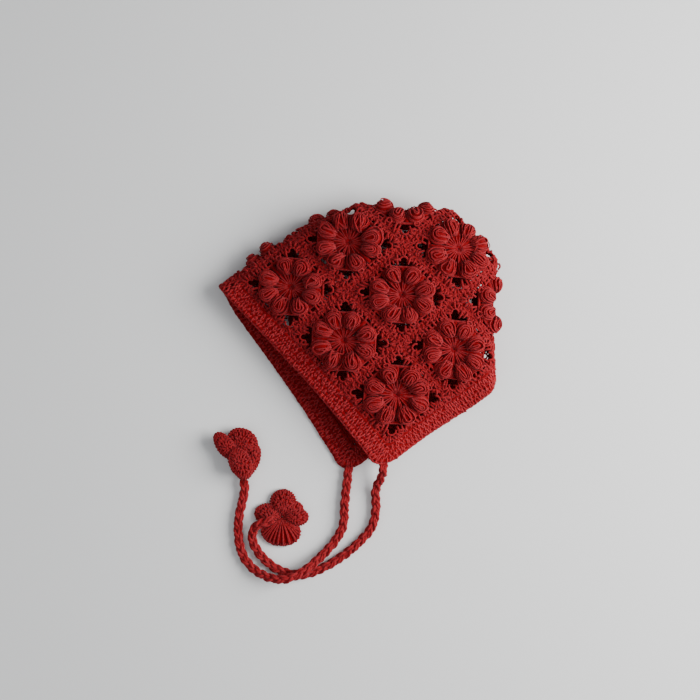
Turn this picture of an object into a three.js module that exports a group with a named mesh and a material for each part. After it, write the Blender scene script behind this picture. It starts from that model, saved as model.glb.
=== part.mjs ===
// A crocheted baby bonnet of puff-flower squares, lying flat on its side.
//
// Millimetres, +Z up. The bonnet lies on the plane Z = 0, its face opening
// looks along -Y and its neck opening along +X. The origin is under the middle
// of the bonnet without its ties.
//
// Cut and joined flat, half of the bonnet covers three by three squares: p runs
// along the face edge from the top of the head to the chin, q from the face edge
// to the back of the head. Seven squares lie on either side of the head. Two more,
// the crown and the nape, are folded corner to corner over the middle of the head.

import * as THREE from 'three';
import { mergeVertices } from 'three/addons/utils/BufferGeometryUtils.js';

// Driving sizes
const SQUARE = 51;          // side of a flower square, seam to seam
const BORDER = 12;          // width of the plain border round face and neck
const WALL = 3;             // thickness of the crocheted fabric
const SEAM = 0.4;           // clearance between neighbouring pieces
const FLOWER_BAND = 4.6;    // open mesh between a flower and the side of its square
const PUFF = 5.5;           // height of a petal above the fabric
const CORNER_CUT = 1.8;     // how far the corners of a square are rounded off
const SEAM_WALL = 2.4;      // thickness of the fabric along the seams
const SQUASH = 1.5;         // how far the petals are pressed flat by the floor
const ROLL = 9;             // how far the top seam has rolled onto the upper side
const CHIN_SLIP = 20;       // how far the lower chin slides out from under the upper one
const CHIN_AHEAD = 3;       // how far it slides on towards the neck
const HEM_DROP = 1.8;       // height of the border's middle above the floor
const TIE = 7;              // thickness of a braided tie
const TIE_FLOWER = 19.5;    // radius of the open flower on a tie
const TIE_FLOWER_THICK = 8; // thickness of its petals
const BUD_LENGTH = 36;      // length of the folded flower on the other tie
const BUD_RADIUS = 15;      // its radius where it is widest
const BUD_FLAT = 0.68;      // its height as a share of its width

// Counts
const TIE_PETALS = 6;
const TIE_SIDES = 8;
const TIE_STEPS = 18;

// How the flat half lies: one row for each seam across the head, from the face
// edge to the back, and in each row the places along it from the top fold to the
// neck. toNeck and toBack shift the cloth in its own plane, and loft is the
// distance from the lower layer to the upper one, all in shares of SQUARE.
const LYING = [
  { toNeck: [-0.03, 0.00, 0.05, 0.04], toBack: [-0.03, 0.01, 0.03, 0.02], loft: [0.28, 0.40, 0.42, 0.26] },
  { toNeck: [0.06, 0.09, 0.11, 0.16], toBack: [-0.03, 0.00, 0.06, 0.07], loft: [0.36, 0.60, 0.60, 0.28] },
  { toNeck: [0.09, 0.16, 0.17, 0.25], toBack: [0.00, -0.01, 0.03, -0.07], loft: [0.56, 0.72, 0.68, 0.50] },
  { toNeck: [0.08, 0.16, 0.24, 0.20], toBack: [0.04, 0.02, -0.03, -0.15], loft: [0.60, 0.64, 0.60, 0.56] },
];

// Rings of a flower from its eye to its tips: at is the share of its radius, and
// crest, flank and valley are heights as shares of PUFF.
const FLOWER_RINGS = [
  { at: 0.50, crest: 0.80, flank: 0.58, valley: 0.26 },
  { at: 0.80, crest: 1.00, flank: 0.80, valley: 0.22 },
];

// Spokes from the middle of a square's side to its corner, one petal to every four
// steps: turn is the angle in degrees, kind picks the height, tip is where the
// flower ends as a share of its radius, and gap is how far out the holes reach, as
// a share of the mesh band.
const SPOKES = [
  { turn: 0, kind: 'valley', tip: 0.97, gap: 0.60 },
  { turn: 7, kind: 'flank', tip: 0.985, gap: 0.60 },
  { turn: 22.5, kind: 'crest', tip: 1.00, gap: 0.50 },
  { turn: 38, kind: 'flank', tip: 1.04, gap: 0.58 },
  { turn: 45, kind: 'valley', tip: 1.12, gap: 0.50 },
];

// Section of the border from its seam to its edge: out is the share of BORDER and
// lift the height as a share of half the WALL.
const BORDER_SECTION = [
  { out: 0.00, lift: 1.0 },
  { out: 0.50, lift: 1.1 },
  { out: 1.00, lift: 0.7 },
  { out: 1.00, lift: -0.7 },
  { out: 0.00, lift: -1.0 },
];

// The chin corners of the border are cut off, as shares of BORDER, and a tie leaves
// from the middle of each cut.
const CHIN_CUT = { far: 0.92, near: 0.42 };

// Routes of the ties, chosen by hand: x and y from the place where each leaves its
// chin corner, and the height of its middle above the floor. The lower tie crosses
// over the upper one on the way to their flowers.
const LOWER_TIE = [
  { x: 0.0, y: 0.0, z: 3.6 }, { x: 3.6, y: -3.4, z: 3.6 }, { x: 8.6, y: -9.2, z: 3.6 },
  { x: 18.8, y: -20.6, z: 3.6 }, { x: 28.8, y: -31.2, z: 3.6 }, { x: 33.2, y: -44.0, z: 4.0 },
  { x: 34.2, y: -59.2, z: 6.6 }, { x: 33.2, y: -73.2, z: 10.6 }, { x: 28.4, y: -86.3, z: 11.8 },
  { x: 19.0, y: -95.1, z: 8.4 }, { x: 6.2, y: -99.3, z: 4.6 }, { x: -5.4, y: -97.7, z: 3.6 },
  { x: -16.2, y: -91.3, z: 3.6 }, { x: -24.6, y: -83.5, z: 3.6 }, { x: -31.0, y: -75.0, z: 3.6 },
  { x: -36.4, y: -67.3, z: 4.0 }, { x: -42.8, y: -61.3, z: 6.0 },
];
const UPPER_TIE = [
  { x: 0.2, y: -0.2, z: 15.6 }, { x: 3.8, y: -2.8, z: 14.9 }, { x: 7.4, y: -8.0, z: 10.4 },
  { x: 11.8, y: -17.0, z: 4.8 }, { x: 22.8, y: -27.0, z: 3.6 }, { x: 29.8, y: -37.4, z: 3.6 },
  { x: 31.8, y: -52.0, z: 3.6 }, { x: 31.0, y: -67.8, z: 3.6 }, { x: 28.2, y: -81.8, z: 3.6 },
  { x: 22.2, y: -96.2, z: 3.6 }, { x: 12.6, y: -104.8, z: 3.6 }, { x: 0.6, y: -109.0, z: 3.6 },
  { x: -11.4, y: -109.4, z: 3.6 }, { x: -20.6, y: -106.6, z: 4.2 }, { x: -25.4, y: -101.4, z: 6.4 },
  { x: -26.2, y: -95.2, z: 9.2 }, { x: -21.8, y: -85.6, z: 10.4 },
];

// Worked out from the driving sizes. The top seam's roll fades out between two
// places on the way back, two folds that meet blend over FOLD_BLEND, and the lower
// layer slides fully from SLIP_BLEND off a fold.
const HALF = (SQUARE - SEAM) / 2;
const FLOWER = SQUARE / 2 - FLOWER_BAND;
const LIES_AT = WALL / 2 + PUFF - SQUASH;
const HEAD_TOP = 2 * SQUARE;
const CHIN = 3 * SQUARE;
const ROLL_FADES = { from: 1.1 * SQUARE, to: 2 * SQUARE };
const FOLD_BLEND = 0.36 * SQUARE;
const SLIP_BLEND = 0.5 * SQUARE;
const PER_SIDE = 2 * (SPOKES.length - 1);
const SPOKE_COUNT = 4 * PER_SIDE;

const wool = new THREE.MeshStandardMaterial({ color: 0x9e2622, roughness: 0.92, metalness: 0 });

function smoothStep(value) {
  const t = Math.min(Math.max(value, 0), 1);
  return t * t * (3 - 2 * t);
}

// Weights of the places 0, 1, 2 and 3 in the cubic through them, at t.
function cubicWeights(t) {
  return [
    -(t - 1) * (t - 2) * (t - 3) / 6,
    t * (t - 2) * (t - 3) / 2,
    -t * (t - 1) * (t - 3) / 2,
    t * (t - 1) * (t - 2) / 6,
  ];
}

// A column of LYING at any place of the flat half.
function lying(column, p, q) {
  const along = cubicWeights(p / SQUARE);
  const across = cubicWeights(q / SQUARE);
  let sum = 0;
  for (let row = 0; row < 4; row += 1) {
    for (let seam = 0; seam < 4; seam += 1) {
      sum += across[row] * along[seam] * LYING[row][column][seam];
    }
  }
  return sum * SQUARE;
}

// Middle of the fabric at (p, q) of the flat half: side is 1 for the upper layer
// and -1 for the lower one. The cloth runs flat up to a fold, then turns round it
// in a half circle as wide as the loft, and goes on as the other layer.
function cloth(side, p, q) {
  if (q > p + HEAD_TOP) {
    [side, p, q] = [-side, q - HEAD_TOP, p + HEAD_TOP];
  }
  if (p + q > SQUARE + 2 * HEAD_TOP) {
    [side, p, q] = [-side, SQUARE + 2 * HEAD_TOP - q, SQUARE + 2 * HEAD_TOP - p];
  }
  const { from, to } = ROLL_FADES;
  const roll = ROLL * (1 - smoothStep((q - from) / (to - from)));
  if (p < -side * roll) {
    [side, p] = [-side, -p];
  }
  const folds = [
    { off: p + side * roll, x: 1, y: 0 },
    { off: (p + HEAD_TOP - q) * Math.SQRT1_2, x: Math.SQRT1_2, y: -Math.SQRT1_2 },
    { off: CHIN - q, x: 0, y: -1 },
    { off: (SQUARE + 2 * HEAD_TOP - p - q) * Math.SQRT1_2, x: -Math.SQRT1_2, y: -Math.SQRT1_2 },
  ];
  let sum = 0;
  for (const fold of folds) {
    fold.off = Math.max(fold.off, 1e-6);
    sum += fold.off ** -4;
  }
  const off = sum ** -0.25;
  let inX = 0;
  let inY = 0;
  for (const fold of folds) {
    const near = Math.hypot(fold.off, FOLD_BLEND) ** -5;
    inX += near * fold.x;
    inY += near * fold.y;
  }
  const long = Math.hypot(inX, inY);
  inX /= long;
  inY /= long;

  const flatX = p + (side - 1) * roll;
  const reach = Math.hypot(off, FOLD_BLEND) - off;
  const atX = flatX + inX * reach;
  const atY = q + inY * reach;
  const round = lying('loft', atX, atY) / 2;
  const turn = Math.min(off / round, Math.PI / 2);
  const inset = round * (Math.PI / 2 - turn - Math.cos(turn));

  const slides = side < 0 ? smoothStep(off / SLIP_BLEND) : 0;
  const share = Math.max(p / CHIN, 0) * Math.max(1 - q / CHIN, 0) * slides;
  const hem = Math.min(atY, CHIN - atX);
  const rest = HEM_DROP + (LIES_AT - HEM_DROP) * smoothStep((hem + BORDER) / (BORDER + FOLD_BLEND));
  return new THREE.Vector3(
    flatX + inX * inset + lying('toNeck', atX, atY) + CHIN_AHEAD * share,
    q + inY * inset + lying('toBack', atX, atY) - CHIN_SLIP * share,
    rest + round * (1 + side * Math.sin(turn)),
  );
}

// A point off the middle of the fabric, lift outwards, and never below the floor.
function skin(side, p, q, lift) {
  const step = 0.05;
  const along = cloth(side, p + step, q).sub(cloth(side, p - step, q));
  const across = cloth(side, p, q + step).sub(cloth(side, p, q - step));
  const point = cloth(side, p, q).addScaledVector(along.cross(across).normalize(), side * lift);
  point.z = Math.max(point.z, 0);
  return point;
}

// A mesh from points and faces, turned right side out.
function solid(name, points, faces) {
  let volume = 0;
  for (const [a, b, c] of faces) {
    volume += points[a].dot(new THREE.Vector3().crossVectors(points[b], points[c]));
  }
  const turned = volume < 0 ? faces.map(([a, b, c]) => [a, c, b]) : faces;
  const geometry = new THREE.BufferGeometry().setFromPoints(points);
  geometry.setIndex(turned.flat());
  geometry.computeVertexNormals();
  const mesh = new THREE.Mesh(geometry, wool.clone());
  mesh.name = name;
  return mesh;
}

// Faces between two rings of the same count, or from a ring to one middle point.
function band(faces, inner, outer, skip = () => false) {
  const count = outer.length;
  for (let k = 0; k < count; k += 1) {
    const next = (k + 1) % count;
    if (inner.length === 1) {
      faces.push([inner[0], outer[k], outer[next]]);
    } else if (!skip(k)) {
      faces.push([inner[k], outer[k], outer[next]], [inner[k], outer[next], inner[next]]);
    }
  }
}

// Spoke k of a square: its angle and its row of SPOKES, mirrored about each corner.
function spoke(k) {
  const corner = PER_SIDE / 2;
  const step = k % PER_SIDE;
  const row = SPOKES[Math.min(step, PER_SIDE - step)];
  const turn = step > corner ? 90 - row.turn : row.turn;
  const angle = THREE.MathUtils.degToRad(90 * Math.floor(k / PER_SIDE) + turn);
  const side = HALF / Math.max(Math.abs(Math.cos(angle)), Math.abs(Math.sin(angle)));
  const edge = step === corner ? side - CORNER_CUT : side;
  const tip = FLOWER * row.tip;
  return { angle, kind: row.kind, edge, tip, gap: tip + (edge - tip) * row.gap };
}

// A flower square centred at (p, q): eight puffed petals round a sunk eye, in a
// band of mesh with a hole at each corner and in the middle of each side. One that
// bends round a fold has one more ring inside.
function flowerSquare(name, side, p, q, bends) {
  const points = [];
  const faces = [];
  const spokes = Array.from({ length: SPOKE_COUNT }, (_, k) => spoke(k));
  const place = (radius, angle, lift) => {
    const a = p + radius * Math.cos(angle);
    points.push(skin(side, a, q + radius * Math.sin(angle), lift));
    return points.length - 1;
  };
  const ring = (radius, lift) => spokes.map((s) => place(radius(s), s.angle, lift(s)));
  const flat = (height) => () => height;

  const outer = [[place(0, 0, WALL / 2)]];
  for (const row of FLOWER_RINGS) {
    outer.push(ring((s) => FLOWER * row.at, (s) => WALL / 2 + PUFF * row[s.kind]));
  }
  outer.push(ring((s) => s.tip, flat(WALL / 2)));
  outer.push(ring((s) => s.gap, flat(WALL / 2)));
  outer.push(ring((s) => s.edge, flat(SEAM_WALL / 2)));

  const inner = [[place(0, 0, -WALL / 2)]];
  if (bends) {
    inner.push(ring((s) => s.tip / 2, flat(-WALL / 2)));
  }
  inner.push(ring((s) => s.tip, flat(-WALL / 2)));
  inner.push(ring((s) => s.gap, flat(-WALL / 2)));
  inner.push(ring((s) => s.edge, flat(-SEAM_WALL / 2)));

  const holeStep = PER_SIDE / 2;
  const pierced = (k) => k % holeStep === 0 || k % holeStep === holeStep - 1;
  for (const [sign, rings] of [[1, outer], [-1, inner]]) {
    const sheet = [];
    for (let r = 1; r < rings.length; r += 1) {
      const mesh = r === rings.length - 2;
      band(sheet, rings[r - 1], rings[r], (k) => mesh && pierced(k));
    }
    faces.push(...(sign > 0 ? sheet : sheet.map(([a, b, c]) => [a, c, b])));
  }
  band(faces, outer.at(-1), inner.at(-1));

  for (let k = 0; k < SPOKE_COUNT; k += holeStep) {
    const around = [-1, 0, 1].map((step) => (k + step + SPOKE_COUNT) % SPOKE_COUNT);
    const loop = (rings) => [
      ...around.map((s) => rings.at(-3)[s]),
      ...around.map((s) => rings.at(-2)[s]).reverse(),
    ];
    band(faces, loop(outer), loop(inner));
  }
  return solid(name, points, faces);
}

// Stations along the seam of a square's side, from its start, as shares of it.
function seamStations() {
  const half = SPOKES.slice(0, 4).map((row) => Math.tan(THREE.MathUtils.degToRad(row.turn)) / 2);
  return [...half.slice(1).reverse().map((t) => 0.5 - t), ...half.map((t) => 0.5 + t)];
}

// The border is one loop: along the upper face edge, round the chin, along the neck,
// mitred at the nape, and back along the lower layer. Each station joins a point on
// the seam to one on the edge.
function border() {
  const stations = [];
  const clear = SEAM / 2;
  const { near, far } = CHIN_CUT;
  const half = (side) => {
    const list = [];
    for (let square = 0; square < 3; square += 1) {
      for (const t of seamStations()) {
        const p = (square + t) * SQUARE;
        list.push({ side, from: [p, -clear], to: [p, -BORDER] });
      }
      const end = (square + 1) * SQUARE;
      list.push({ side, from: [end, -clear], to: [end, -BORDER] });
    }
    list.push({ side, from: [CHIN + clear / 2, -clear], to: [CHIN + near * BORDER, -far * BORDER] });
    list.push({ side, from: [CHIN + clear, -clear / 2], to: [CHIN + far * BORDER, -near * BORDER] });
    list.push({ side, from: [CHIN + clear, clear], to: [CHIN + BORDER, clear] });
    for (let square = 0; square < 2; square += 1) {
      const width = SQUARE - square * BORDER;
      for (const t of seamStations()) {
        list.push({
          side,
          from: [CHIN + clear, (square + t) * SQUARE],
          to: [CHIN + BORDER, square * SQUARE + t * width],
        });
      }
      if (square === 0) {
        list.push({ side, from: [CHIN + clear, SQUARE], to: [CHIN + BORDER, SQUARE] });
      }
    }
    return list;
  };
  stations.push({ side: 1, from: [0, -clear], to: [0, -BORDER] }, ...half(1));
  const nape = [HEAD_TOP - clear, HEAD_TOP - BORDER];
  stations.push({ side: 1, from: [CHIN + clear, nape[0]], to: [CHIN + BORDER, nape[1]] });
  stations.push(...half(-1).reverse());

  const points = [];
  const faces = [];
  const rings = stations.map(({ side, from, to }) => BORDER_SECTION.map(({ out, lift }) => {
    const p = from[0] + (to[0] - from[0]) * out;
    const q = from[1] + (to[1] - from[1]) * out;
    points.push(skin(side, p, q, lift * WALL / 2));
    return points.length - 1;
  }));
  rings.forEach((ring, k) => band(faces, ring, rings[(k + 1) % rings.length]));
  return solid('border', points, faces);
}

// Where a tie leaves its chin corner: just off the middle of the cut.
function chinExit(side) {
  const { near, far } = CHIN_CUT;
  const start = cloth(side, CHIN + near * BORDER, -far * BORDER);
  const end = cloth(side, CHIN + far * BORDER, -near * BORDER);
  const out = new THREE.Vector3(end.y - start.y, start.x - end.x, 0).normalize();
  return start.lerp(end, 0.5).addScaledVector(out, SEAM);
}

function tieRoute(side, route) {
  const exit = chinExit(side);
  return route.map(({ x, y, z }) => new THREE.Vector3(exit.x + x, exit.y + y, z));
}

function tie(name, route) {
  const section = new THREE.Shape();
  for (let k = 0; k < TIE_SIDES; k += 1) {
    const angle = (k + 0.5) * 2 * Math.PI / TIE_SIDES;
    const x = TIE / 2 * Math.cos(angle);
    const y = TIE / 2 * Math.sin(angle);
    if (k === 0) {
      section.moveTo(x, y);
    } else {
      section.lineTo(x, y);
    }
  }
  section.closePath();
  const extrudePath = new THREE.CatmullRomCurve3(route, false, 'centripetal');
  const tube = new THREE.ExtrudeGeometry(section, { steps: TIE_STEPS, extrudePath });
  tube.deleteAttribute('uv');
  tube.deleteAttribute('normal');
  const mesh = new THREE.Mesh(mergeVertices(tube, 1e-3), wool.clone());
  mesh.geometry.computeVertexNormals();
  mesh.name = name;
  return mesh;
}

// The open flower lies back up, and the tie comes in over the dip between two of
// its petals, to a place short of its middle. OPEN_PETALS is each petal's reach as
// a share of TIE_FLOWER, from the petal after the tie. The heights of OPEN_MIDDLE
// and of each ring are shares of TIE_FLOWER_THICK.
const OPEN_PETALS = [0.98, 1.04, 1.06, 0.88, 0.96, 1.08];
const OPEN_MIDDLE = { beyond: 0.20, height: 0.45 };
const OPEN_RINGS = [
  { at: 0.30, crest: 0.60, flank: 0.55, valley: 0.50 },
  { at: 0.62, crest: 1.00, flank: 0.80, valley: 0.50 },
  { at: 0.86, crest: 0.90, flank: 0.66, valley: 0.40 },
  { at: 1.00, crest: 0.40, flank: 0.38, valley: 0.30 },
  { at: 0.95, crest: 0.00, flank: 0.00, valley: 0.00 },
];
const OPEN_REACH = { crest: 1, flank: 0.94, valley: 0.78 };

function openFlower(name, route) {
  const end = route.at(-1);
  const inwards = end.clone().sub(route.at(-2)).setZ(0).normalize();
  const middle = end.clone().addScaledVector(inwards, OPEN_MIDDLE.beyond * TIE_FLOWER).setZ(0);
  const start = Math.atan2(-inwards.y, -inwards.x);
  const kinds = ['valley', 'flank', 'crest', 'flank'];
  const points = [middle.clone().setZ(TIE_FLOWER_THICK * OPEN_MIDDLE.height)];
  const faces = [];
  const rings = [[0]];
  for (const row of OPEN_RINGS) {
    const ring = [];
    for (let k = 0; k < kinds.length * TIE_PETALS; k += 1) {
      const kind = kinds[k % kinds.length];
      const angle = start + k * 2 * Math.PI / (kinds.length * TIE_PETALS);
      const petal = kind === 'valley' ? 1 : OPEN_PETALS[Math.floor(k / kinds.length)];
      const reach = rings.length === 1 ? 1 : OPEN_REACH[kind] * petal;
      const radius = TIE_FLOWER * row.at * reach;
      ring.push(points.length);
      points.push(new THREE.Vector3(
        middle.x + radius * Math.cos(angle),
        middle.y + radius * Math.sin(angle),
        TIE_FLOWER_THICK * row[kind],
      ));
    }
    rings.push(ring);
  }
  for (let r = 1; r < rings.length; r += 1) {
    band(faces, rings[r - 1], rings[r]);
  }
  points.push(middle);
  band(faces, [points.length - 1], [...rings.at(-1)].reverse());
  return solid(name, points, faces);
}

// The folded flower lies on its side, its petals closed to a cup whose base is on
// the tie. along and radius are shares of its length and radius, lobe is how deep
// the dips between the petals are, and down is how far its middle has come down
// from the end of the tie to where it lies. The cup is hollow from BUD_MOUTH on, and
// its middle lies at BUD_REST of half its height, with the rest pressed flat.
const BUD_SPOKES = 4;
const BUD_MOUTH = 0.70;
const BUD_REST = 0.94;
const BUD_RINGS = [
  { along: 0.00, radius: 0.28, lobe: 0.00, down: 0.00 },
  { along: 0.14, radius: 0.66, lobe: 0.04, down: 0.42 },
  { along: 0.42, radius: 0.98, lobe: 0.12, down: 1.00 },
  { along: 0.72, radius: 1.02, lobe: 0.20, down: 1.00 },
  { along: 0.93, radius: 0.80, lobe: 0.24, down: 1.00 },
  { along: 0.98, radius: 0.52, lobe: 0.20, down: 1.00 },
  { along: 0.80, radius: 0.26, lobe: 0.00, down: 1.00 },
];

function budFlower(name, route) {
  const end = route.at(-1);
  const last = end.clone().sub(route.at(-2)).normalize();
  const ahead = last.clone().setZ(0).normalize();
  const aside = new THREE.Vector3(-ahead.y, ahead.x, 0);
  const start = end.clone().addScaledVector(ahead, SEAM + TIE / 2 * Math.abs(last.z));
  const height = BUD_RADIUS * BUD_FLAT;
  const count = BUD_SPOKES * TIE_PETALS;
  const points = [start.clone()];
  const faces = [];
  const rings = [[0]];
  for (const row of BUD_RINGS) {
    const ring = [];
    const lift = THREE.MathUtils.lerp(end.z, height * BUD_REST, row.down);
    for (let k = 0; k < count; k += 1) {
      const angle = k * 2 * Math.PI / count;
      const dip = 1 - row.lobe * (1 - Math.abs(Math.cos(angle * TIE_PETALS / 2)));
      const radius = BUD_RADIUS * row.radius * dip;
      const point = start.clone().addScaledVector(ahead, BUD_LENGTH * row.along);
      point.addScaledVector(aside, radius * Math.cos(angle));
      point.z = Math.max(lift + radius * BUD_FLAT * Math.sin(angle), 0);
      ring.push(points.length);
      points.push(point);
    }
    rings.push(ring);
  }
  for (let r = 1; r < rings.length; r += 1) {
    band(faces, rings[r - 1], rings[r]);
  }
  const mouth = start.clone().addScaledVector(ahead, BUD_LENGTH * BUD_MOUTH);
  points.push(mouth.setZ(height * BUD_REST));
  band(faces, [points.length - 1], [...rings.at(-1)].reverse());
  return solid(name, points, faces);
}

// The bonnet, then its ties
const bonnet = new THREE.Group();
const middles = [0.5, 1.5, 2.5];
for (const [layer, side] of [['upper', 1], ['lower', -1]]) {
  middles.forEach((along, k) => {
    bonnet.add(flowerSquare(`${layer}_front_square_${k + 1}`, side, along * SQUARE, 0.5 * SQUARE, k === 0));
    bonnet.add(flowerSquare(`${layer}_middle_square_${k + 1}`, side, along * SQUARE, 1.5 * SQUARE, k !== 1));
  });
  bonnet.add(flowerSquare(`${layer}_rear_square`, side, 1.5 * SQUARE, 2.5 * SQUARE, true));
}
bonnet.add(flowerSquare('crown_square', 1, 0.5 * SQUARE, 2.5 * SQUARE, true));
bonnet.add(flowerSquare('nape_square', 1, 2.5 * SQUARE, 2.5 * SQUARE, true));
bonnet.add(border());

const box = new THREE.Box3().setFromObject(bonnet);
const lowerRoute = tieRoute(-1, LOWER_TIE);
const upperRoute = tieRoute(1, UPPER_TIE);
bonnet.add(tie('lower_tie', lowerRoute));
bonnet.add(tie('upper_tie', upperRoute));
bonnet.add(budFlower('bud_flower', lowerRoute));
bonnet.add(openFlower('open_flower', upperRoute));

bonnet.position.set(-(box.min.x + box.max.x) / 2, -(box.min.y + box.max.y) / 2, -box.min.z);

export default bonnet;
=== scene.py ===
"""A crocheted baby bonnet of puff-flower squares, lying flat on its side with its ties.

The bonnet is worked out as yarn. Cut and joined flat, half of it covers three by
three squares: p runs along the face edge from the top of the head to the chin, q
from the face edge to the back of the head, and h is the height off the middle of
the cloth. cloth() lays that flat half on the surface, and every strand of it is a
path in (p, q, h) that follows it. The ties and their flowers lie beside it in
(x, y, z). Lengths are in millimetres until a mesh is made.
"""

import math

import bpy
import numpy as np
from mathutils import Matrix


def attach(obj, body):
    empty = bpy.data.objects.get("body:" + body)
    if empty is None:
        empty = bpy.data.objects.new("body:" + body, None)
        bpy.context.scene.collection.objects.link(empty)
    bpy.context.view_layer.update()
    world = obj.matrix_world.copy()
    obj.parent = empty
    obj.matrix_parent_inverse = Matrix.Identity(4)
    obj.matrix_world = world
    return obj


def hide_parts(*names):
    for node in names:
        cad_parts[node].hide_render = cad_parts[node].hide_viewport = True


bl_info = {
    "name": "Crocheted baby bonnet",
    "version": (1, 0, 0),
    "blender": (4, 5, 0),
    "location": "3D View > Sidebar > Bonnet",
    "description": "A baby bonnet of puff-flower squares with braided ties",
    "category": "Add Mesh",
}

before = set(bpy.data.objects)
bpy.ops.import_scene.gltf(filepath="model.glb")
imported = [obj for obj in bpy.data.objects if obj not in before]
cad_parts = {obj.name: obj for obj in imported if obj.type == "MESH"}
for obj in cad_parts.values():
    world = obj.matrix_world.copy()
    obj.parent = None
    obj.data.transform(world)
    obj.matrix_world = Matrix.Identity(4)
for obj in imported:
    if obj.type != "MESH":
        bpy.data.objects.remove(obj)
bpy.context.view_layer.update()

# A millimetre in Blender's metres, and a metre in millimetres
MM = 0.001
METRE = 1000

# The cloth, as the part has it: side of a square, width of the border, thickness, and
# the clearance where pieces are sewn together
SQUARE = 51.0
BORDER = 12.0
WALL = 3.0
SEAM = 0.4

# Height of a petal above the cloth, how far the floor presses it flat, how high that
# leaves the middle of the lower layer, and how high the border's middle lies
PUFF = 5.5
SQUASH = 1.5
LIES_AT = WALL / 2 + PUFF - SQUASH
HEM_DROP = 1.8

# The folds of the flat half: q - p at the crown fold, p at the chin, which is as far as q
# at the back fold, and p + q at the nape fold
HEAD_TOP = 2 * SQUARE
CHIN = 3 * SQUARE
NAPE = SQUARE + 2 * HEAD_TOP

# How far the top seam has rolled onto the upper side, and the q between which that fades
ROLL = 9.0
ROLL_FROM = 1.1 * SQUARE
ROLL_TO = 2 * SQUARE

# How far the lower chin slides out from under the upper one and on towards the neck, and
# the distances over which folds that meet blend and the slide begins
CHIN_SLIP = 20.0
CHIN_AHEAD = 3.0
FOLD_BLEND = 0.36 * SQUARE
SLIP_BLEND = 0.5 * SQUARE

# The cut of a chin corner, in shares of the border, and the place of the flat half's zero
CHIN_CUT = (0.42, 0.92)
ORIGIN = np.array([-82.89, -55.74, 0.0])

# How the flat half lies, in shares of SQUARE: shifts in its own plane and the distance
# between the layers, a row for each seam from the face edge to the back, and in each row
# the places from the top fold to the neck
TO_NECK = np.array([
    [-0.03, 0.00, 0.05, 0.04],
    [0.06, 0.09, 0.11, 0.16],
    [0.09, 0.16, 0.17, 0.25],
    [0.08, 0.16, 0.24, 0.20],
])
TO_BACK = np.array([
    [-0.03, 0.01, 0.03, 0.02],
    [-0.03, 0.00, 0.06, 0.07],
    [0.00, -0.01, 0.03, -0.07],
    [0.04, 0.02, -0.03, -0.15],
])
LOFT = np.array([
    [0.28, 0.40, 0.42, 0.26],
    [0.36, 0.60, 0.60, 0.28],
    [0.56, 0.72, 0.68, 0.50],
    [0.60, 0.64, 0.60, 0.56],
])

# Routes of the ties: x and y from where each leaves its chin corner, and the height of its middle
LOWER_TIE = np.array([
    (0.0, 0.0, 3.6), (3.6, -3.4, 3.6), (8.6, -9.2, 3.6), (18.8, -20.6, 3.6), (28.8, -31.2, 3.6),
    (33.2, -44.0, 4.0), (34.2, -59.2, 6.6), (33.2, -73.2, 10.6), (28.4, -86.3, 11.8), (19.0, -95.1, 8.4),
    (6.2, -99.3, 4.6), (-5.4, -97.7, 3.6), (-16.2, -91.3, 3.6), (-24.6, -83.5, 3.6), (-31.0, -75.0, 3.6),
    (-36.4, -67.3, 4.0), (-42.8, -61.3, 6.0),
])
UPPER_TIE = np.array([
    (0.2, -0.2, 15.6), (3.8, -2.8, 14.9), (7.4, -8.0, 10.4), (11.8, -17.0, 4.8), (22.8, -27.0, 3.6),
    (29.8, -37.4, 3.6), (31.8, -52.0, 3.6), (31.0, -67.8, 3.6), (28.2, -81.8, 3.6), (22.2, -96.2, 3.6),
    (12.6, -104.8, 3.6), (0.6, -109.0, 3.6), (-11.4, -109.4, 3.6), (-20.6, -106.6, 4.2),
    (-25.4, -101.4, 6.4), (-26.2, -95.2, 9.2), (-21.8, -85.6, 10.4),
])


def smooth(value):
    """0 below 0, 1 above 1 and 3t2 - 2t3 between."""
    t = np.clip(value, 0, 1)
    return t * t * (3 - 2 * t)


def cubic_weights(t):
    """Weights of the places 0, 1, 2 and 3 in the cubic through them, at t."""
    return np.stack([
        -(t - 1) * (t - 2) * (t - 3) / 6,
        t * (t - 2) * (t - 3) / 2,
        -t * (t - 1) * (t - 3) / 2,
        t * (t - 1) * (t - 2) / 6,
    ])


def lying(table, p, q):
    """A table of shares at (p, q): the cubic through its seams each way, times SQUARE."""
    back, along = cubic_weights(q / SQUARE), cubic_weights(p / SQUARE)
    return SQUARE * np.einsum("i...,j...,ij->...", back, along, table)


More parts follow.
